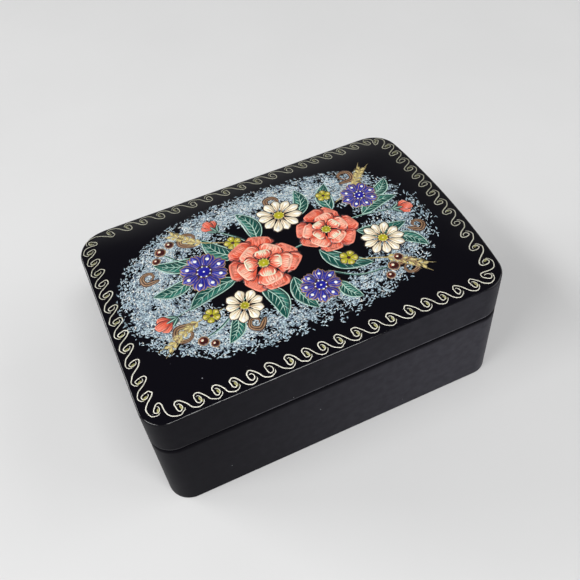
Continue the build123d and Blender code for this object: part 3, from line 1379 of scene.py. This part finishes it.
@dataclass(frozen=True)
class Haze:
    """A stippled haze of short dabs in an oval band round the flowers."""

    seed: int = 5
    half_length: float = 36.5
    half_width: float = 22.3
    squareness: float = 2.3
    # Shares of the way out from the middle to the oval's edge.
    band_middle: float = 0.86
    band_half: float = 0.17
    band_end: float = 1.12
    drawn_reach: float = 1.15
    fullness: float = 1.05
    wisp_scale: float = 1.1
    wisp_height: float = 0.3
    # Level and swing of the unevenness along the band, and of the clumps in it.
    wisps: Span = (0.9, 0.7)
    clumps: Span = (0.8, 1.1)
    clump_spacing: float = 2.6
    unruliness: float = 0.8
    patches: int = 1800
    dabs: int = 8000
    patch_floor: float = 0.3
    dab_floor: float = 0.06
    # The least and the greatest length of a dab, and its least and greatest width.
    patch_size: tuple[Span, Span] = ((1.0, 1.9), (0.7, 1.1))
    under_size: tuple[Span, Span] = ((0.5, 1.1), (0.2, 0.36))
    upper_size: tuple[Span, Span] = ((0.4, 0.95), (0.15, 0.28))
    # Shares of mist, frost, night and white in the upper layer, the last where the haze is full.
    mixture: tuple[float, ...] = (0.3, 0.45, 0.13, 0.32)

    def density(self, spot: Vector) -> float:
        """Share of the fullest haze at a place in plan.

        Args:
            spot: The place in millimetres.

        Returns:
            The share, from zero to one.
        """
        along, across = spot.x / self.half_length, spot.y / self.half_width
        reach = (abs(along) ** self.squareness + abs(across) ** self.squareness) ** (1 / self.squareness)
        band = math.exp(-(((reach - self.band_middle) / self.band_half) ** 2))
        angle = math.atan2(across, along)
        way = Vector((math.cos(angle), math.sin(angle), self.wisp_height)) * self.wisp_scale
        wisps = self.uneven(self.wisps, way)
        clumps = self.uneven(self.clumps, spot.to_3d() / self.clump_spacing)
        return max(0.0, min(1.0, self.fullness * band * wisps * clumps * (reach < self.band_end)))

    @staticmethod
    def uneven(span: Span, place: Vector) -> float:
        """A level with a swing about it, by a smooth noise."""
        return span[0] + span[1] * noise.noise(place)

    def scattered(self, count: int, hand: random.Random, floor: float) -> Iterator[tuple[Vector, float]]:
        """Places drawn by the haze's density.

        Args:
            count: How many.
            hand: The source of chance.
            floor: Density below which nothing falls.

        Yields:
            Each place with its density.
        """
        found = 0
        while found < count:
            along, across = (hand.uniform(-self.drawn_reach, self.drawn_reach) for _ in range(2))
            spot = Vector((along * self.half_length, across * self.half_width))
            share = self.density(spot)
            if share > floor and hand.random() < share:
                found += 1
                yield spot, share

    def dab(self, work: Paintwork, spot: Vector, size: tuple[Span, Span], pigment: Pigment) -> None:
        """Touch the lid once with the brush, roughly along the band.

        Args:
            work: What it is painted into.
            spot: The place.
            size: The spans of its length and its width.
            pigment: The paint.
        """
        length, width = (work.hand.uniform(*span) for span in size)
        along = math.atan2(spot.y / self.half_width**2, spot.x / self.half_length**2) + FULL_TURN / 4
        half = polar((0.0, 0.0), length / 2, work.hand.gauss(along, self.unruliness))
        work.dab(spot, half, width, pigment, (2, 1))

    def build(self, top: LidTop) -> None:
        """Stipple the haze as an under-layer of dark dabs and an upper one of pale dabs.

        Args:
            top: The lid's top.
        """
        hand = random.Random(self.seed)
        under = Paintwork("haze_under", "painting", top, hand)
        for spot, _ in self.scattered(self.patches, hand, self.patch_floor):
            self.dab(under, spot, self.patch_size, Pigment.SLATE)
        under.coat = 1
        for spot, _ in self.scattered(self.dabs, hand, self.dab_floor):
            self.dab(under, spot, self.under_size, Pigment.MIST)
        under.finish()
        upper = Paintwork("haze_upper", "painting", top, hand, 2)
        pigments = (Pigment.MIST, Pigment.FROST, Pigment.NIGHT, Pigment.WHITE)
        for spot, share in self.scattered(self.dabs, hand, self.dab_floor):
            pigment = hand.choices(pigments, (*self.mixture[:3], self.mixture[3] * share))[0]
            self.dab(upper, spot, self.upper_size, pigment)
        upper.finish()


@dataclass(frozen=True)
class FlowerSpray:
    """The spray inside the scroll: leaves and locks first, then the small flowers, then the roses."""

    seed: int = 23
    # Each piece has its name, the coat that its motifs start from, and the motifs.
    pieces: tuple[tuple[str, int, tuple[Motif, ...]], ...] = (
        ("painted_greenery", 4, (
            Stem(((-30, -6.5), (-20, -4.5), (-8, -1), (6, 0.5), (20, 3), (33, 1))),
            Stem(((-2, 0), (-6, 9), (-11, 15))), Stem(((-16, 4), (-22, 9), (-25.5, 13.5))),
            Stem(((8, -10), (14, -14.5), (21.5, -15.5))), Stem(((-12, -8), (-20, -13.5), (-24.5, -15))),
            Leaf((-9, 4), (-15.5, 14), 4.4, 0.12), Leaf((-12, -2), (-25.5, -6), 4.6, -0.10),
            Leaf((-8, -7), (-6.5, -18.5), 4.4, 0.14), Leaf((0, -8), (1.5, -19), 3.8, -0.12),
            Leaf((9, -3), (19, -12.5), 4.6, -0.14), Leaf((20, -1.5), (32.5, -4), 4.2, -0.12),
            Leaf((18, 8), (20.5, 18), 4.0, 0.12), Leaf((9, 10), (12.5, 19.5), 3.8, -0.14),
            Leaf((-3, 7), (-4.5, 18.5), 4.2, -0.12), Leaf((-17.5, 8), (-29, 11.5), 4.0, 0.14),
            Leaf((-21.5, 3), (-32, 2), 3.8, 0.12), Leaf((27, -7), (33.5, -13.5), 3.4, 0.12),
            Leaf((29, 8), (35.5, 12.5), 3.4, -0.12), Leaf((-16, -12), (-20.5, -19), 3.4, 0.12),
            Leaf((9, -14), (12, -20.5), 3.2, -0.12), Leaf((24, 3), (35, 5.5), 3.8, 0.12),
        )),
        ("painted_locks", 8, (
            Tendril((-29.5, -9.5), 200, 2.6), Tendril((-20.5, 14.5), 120, 2.4, -1.15),
            Tendril((4, 19), 60, 1.9, -1.05), Tendril((27.5, 16), 30, 2.3),
            Tendril((26.5, -15.5), -20, 2.3, -1.15), Tendril((-12.5, -18), 200, 1.9, -1.05),
            Tendril((34, -8), -10, 1.9), Tendril((-32, 6.5), 150, 2.0, -1.1),
            WheatEar((-18, -9), (-33.5, -14), -0.08), WheatEar((16, -10), (29.5, -19), 0.08),
            WheatEar((20, 10), (32, 19), -0.08), WheatEar((-10, 10), (-22, 19.5), 0.08),
        )),
        ("painted_fruit", 12, (
            Berry((-26, 14.8), 1.5), Berry((-23.2, 16.2), 1.25), Berry((-27.8, 12.4), 1.15),
            Berry((22.5, -15.8), 1.5), Berry((24.8, -13.8), 1.25), Berry((20.5, -18), 1.15),
            Berry((-25.6, -15.6), 1.35), Berry((-23.4, -17.4), 1.1),
            Bud((-29, -6.5), 190, 5.6), Bud((-11, 15), 112, 5.0), Bud((32, 1.2), -8, 5.2),
            Blossom((-8.8, 9.2), 2.4, 0.3), Blossom((14.2, -8.6), 2.5, 0.9),
            Blossom((-21.5, -9.8), 2.3, 0.5), Blossom((18.3, 13.8), 2.2, 0.1),
        )),
        ("painted_cornflowers", 18, (
            Cornflower((-18.5, 3.6), 6.2, 0.2), Cornflower((4.6, -13.2), 5.2, 0.5),
            Cornflower((26.6, 9.6), 5.0, 0.1),
        )),
        ("painted_daisies", 18, (
            Daisy((5.2, 12.6), 6.0, 0.2), Daisy((24.6, -6.6), 5.4, 0.4), Daisy((-13.6, -10.6), 4.9, 0.1, 9),
        )),
        ("painted_roses", 22, (Rose((-4.6, -0.6), 8.8, 0.35), Rose((13.6, 2.4), 7.4, 0.9))),
    )

    def build(self, top: LidTop) -> None:
        """Paint the spray, each kind as a piece.

        Args:
            top: The lid's top.
        """
        hand = random.Random(self.seed)
        for name, coat, motifs in self.pieces:
            work = Paintwork(name, "painting", top, hand)
            for motif in motifs:
                work.coat = coat
                motif.paint(work)
            work.finish()


@dataclass(frozen=True)
class SoftLamp:
    """A soft lamp that faces the box. Its middle and its sides are in metres, and its power in watts."""

    name: str
    middle: tuple[float, float, float]
    width: float
    height: float
    power: float

    def build(self) -> None:
        """Hang the lamp."""
        light = bpy.data.lights.new(self.name, "AREA")
        light.shape = "RECTANGLE"
        light.size, light.size_y, light.energy = self.width, self.height, self.power
        lamp = placed(self.name, light)
        lamp.location = self.middle
        lamp.rotation_euler = (-Vector(self.middle)).to_track_quat("-Z", "Y").to_euler()


@dataclass(frozen=True)
class Studio:
    """Pale floor, soft lamps round the box and the camera at the photograph's angle.

    The lid's top mirrors none of the lamps, and only its rounded edge the first. The floor is in metres,
    the camera's place in millimetres and its angles in degrees.
    """

    floor_colour: str = "#d0d0d0"
    cloud_colour: str = "#c8c8c8"
    cloud_spacing: float = 60.0
    cloud_span: Span = (0.3, 0.7)
    cloud_share: float = 0.25
    floor_roughness: float = 0.85
    floor_shine: float = 0.2
    floor_half_width: float = 3.0
    floor_reach: Span = (0.22, 0.75)
    horizon_level: float = 0.55
    overhead_level: float = 0.05
    overhead_span: Span = (0.3, 0.7)
    room_level: float = 0.17
    eye: tuple[float, float, float] = (-39.547, -115.732, 169.206)
    heading: float = 19.530
    fall: float = 49.932
    roll: float = -6.342
    focal_pixels: float = 740.90
    picture_pixels: float = 580.0
    sensor_width: float = 36.0
    nearest: float = 0.005
    lamps: tuple[SoftLamp, ...] = (
        SoftLamp("lamp_front", (0.03, -0.50, 0.96), 0.55, 0.2, 6.2),
        SoftLamp("lamp_left", (-0.72, -0.11, 0.83), 0.6, 0.2, 5.5),
        SoftLamp("lamp_back_left", (-0.85, 0.68, 0.46), 0.6, 0.25, 6.0),
        SoftLamp("lamp_right", (0.9, -0.3, 0.7), 0.9, 0.7, 3.6),
    )

    @staticmethod
    def seen(nodes: Nodes) -> Socket:
        """Tell what is seen sharply from what only lights matt things.

        Args:
            nodes: The nodes that ask.

        Returns:
            One for what the eye, a mirror or glass sees, and zero for the rest.
        """
        path = nodes.add("LightPath").outputs
        sharp = nodes.maths("MAXIMUM", path["Is Glossy Ray"], path["Is Transmission Ray"])
        return nodes.maths("MAXIMUM", sharp, path["Is Camera Ray"])

    def build_floor(self) -> None:
        """Lay the floor, which runs into the pale backdrop far from the box."""
        form = bmesh.new()
        bmesh.ops.create_grid(form, x_segments=1, y_segments=1, size=self.floor_half_width)
        mesh = bpy.data.meshes.new("floor")
        form.to_mesh(mesh)
        form.free()
        nodes = Surface("matt_painted_floor")
        clouds = nodes.ramp(nodes.noise(self.cloud_spacing, 3.0), self.cloud_span, (0.0, self.cloud_share))
        away = nodes.ramp(nodes.vectors("LENGTH", nodes.here()), self.floor_reach)
        distant = nodes.product(away, self.seen(nodes))
        haze = nodes.add("Emission", {"Strength": self.horizon_level}).outputs["Emission"]
        both = nodes.add("MixShader", {0: distant, 1: nodes.shader.outputs["BSDF"], 2: haze})
        nodes.put(nodes.output, "Surface", both.outputs["Shader"])
        mesh.materials.append(nodes.finish({
            "Base Color": nodes.blend(clouds, linear(self.floor_colour), linear(self.cloud_colour)),
            "Roughness": self.floor_roughness,
            "Specular IOR Level": self.floor_shine,
        }))
        floor = placed("floor", mesh)

    def build_room(self) -> None:
        """Fill the room with dim even light.

        The eye, mirrors and glass see a pale room instead, which darkens overhead.
        """
        world = bpy.data.worlds.new("room")
        bpy.context.scene.world = world
        world.use_nodes = True
        nodes = Nodes(world.node_tree)
        upward = nodes.axis(nodes.here("Generated"), "Z")
        view = nodes.ramp(upward, self.overhead_span, (self.horizon_level, self.overhead_level))
        inputs = {nodes.share: self.seen(nodes), nodes.level: self.room_level, nodes.other_level: view}
        strength = nodes.add("Mix", inputs).outputs[nodes.mixed_level]
        room = nodes.add("Background", {"Color": (1.0, 1.0, 1.0, 1.0), "Strength": strength})
        nodes.add("OutputWorld", {"Surface": room.outputs["Background"]})

    def build_camera(self) -> None:
        """Set the camera where the photograph was taken from."""
        heading, fall, roll = (math.radians(angle) for angle in (self.heading, self.fall, self.roll))
        ahead = Vector((
            math.sin(heading) * math.cos(fall), math.cos(heading) * math.cos(fall), -math.sin(fall)
        ))
        level_right = ahead.cross(Vector((0, 0, 1))).normalized()
        level_up = level_right.cross(ahead)
        right = level_right * math.cos(roll) + level_up * math.sin(roll)
        up = level_up * math.cos(roll) - level_right * math.sin(roll)
        lens = bpy.data.cameras.new("camera")
        lens.sensor_fit = "HORIZONTAL"
        lens.sensor_width = self.sensor_width
        lens.lens = self.focal_pixels * self.sensor_width / self.picture_pixels
        lens.clip_start = self.nearest
        camera = placed("camera", lens)
        turn = Matrix((right, up, -ahead)).transposed()
        camera.matrix_world = Matrix.Translation(Vector(self.eye) * MM) @ turn.to_4x4()
        bpy.context.scene.camera = camera

    def build(self) -> None:
        """Build the whole studio."""
        self.build_floor()
        for lamp in self.lamps:
            lamp.build()
        self.build_room()
        self.build_camera()
        bpy.context.scene.view_settings.view_transform = "Standard"


@dataclass(frozen=True)
class Box:
    """The box's own solids, as packed, and their finishes."""

    linings: tuple[tuple[str, Lining], ...] = (
        ("base_wall", Lining.NONE),
        ("base_floor", Lining.FLOOR),
        ("inner_rim", Lining.ALL),
        ("lid_wall", Lining.WALL),
        ("lid_plate", Lining.CEILING),
    )
    strip: DrawnMetal = DrawnMetal("tin_plated_strip", "#c4beb0", "#6f675a", 0.34, 0.5)
    wire: DrawnMetal = DrawnMetal("drawn_steel_wire", "#b9b9b6", "#77736c", 0.28, 0.3)
    knuckles: tuple[str, ...] = (
        "base_knuckle_left", "base_knuckle_middle", "base_knuckle_right",
        "lid_knuckle_left", "lid_knuckle_right",
    )

    def dress(self) -> None:
        """Give every node its finish."""
        for name, lining in self.linings:
            self.coat(name, Lacquer(lining).material())
        tin = self.strip.material()
        for name in self.knuckles:
            self.coat(name, tin)
        self.coat("hinge_pin", self.wire.material())

    def coat(self, name: str, material: bpy.types.Material) -> None:
        """Put a material on a node.

        Args:
            name: The node's name.
            material: Its finish.
        """
        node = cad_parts[name]
        if not node.material_slots:
            node.data.materials.append(material)
        for slot in node.material_slots:
            slot.material = material
        LOG.info("%s: %s", name, material.name)


def main() -> None:
    """Build the box's looks in order."""
    logging.basicConfig(level=logging.INFO, format="%(name)s %(message)s")
    Box().dress()
    top = LidTop()
    ScrollBorder().build(top)
    Haze().build(top)
    FlowerSpray().build(top)
    Studio().build()


if __name__ == "__main__":
    main()
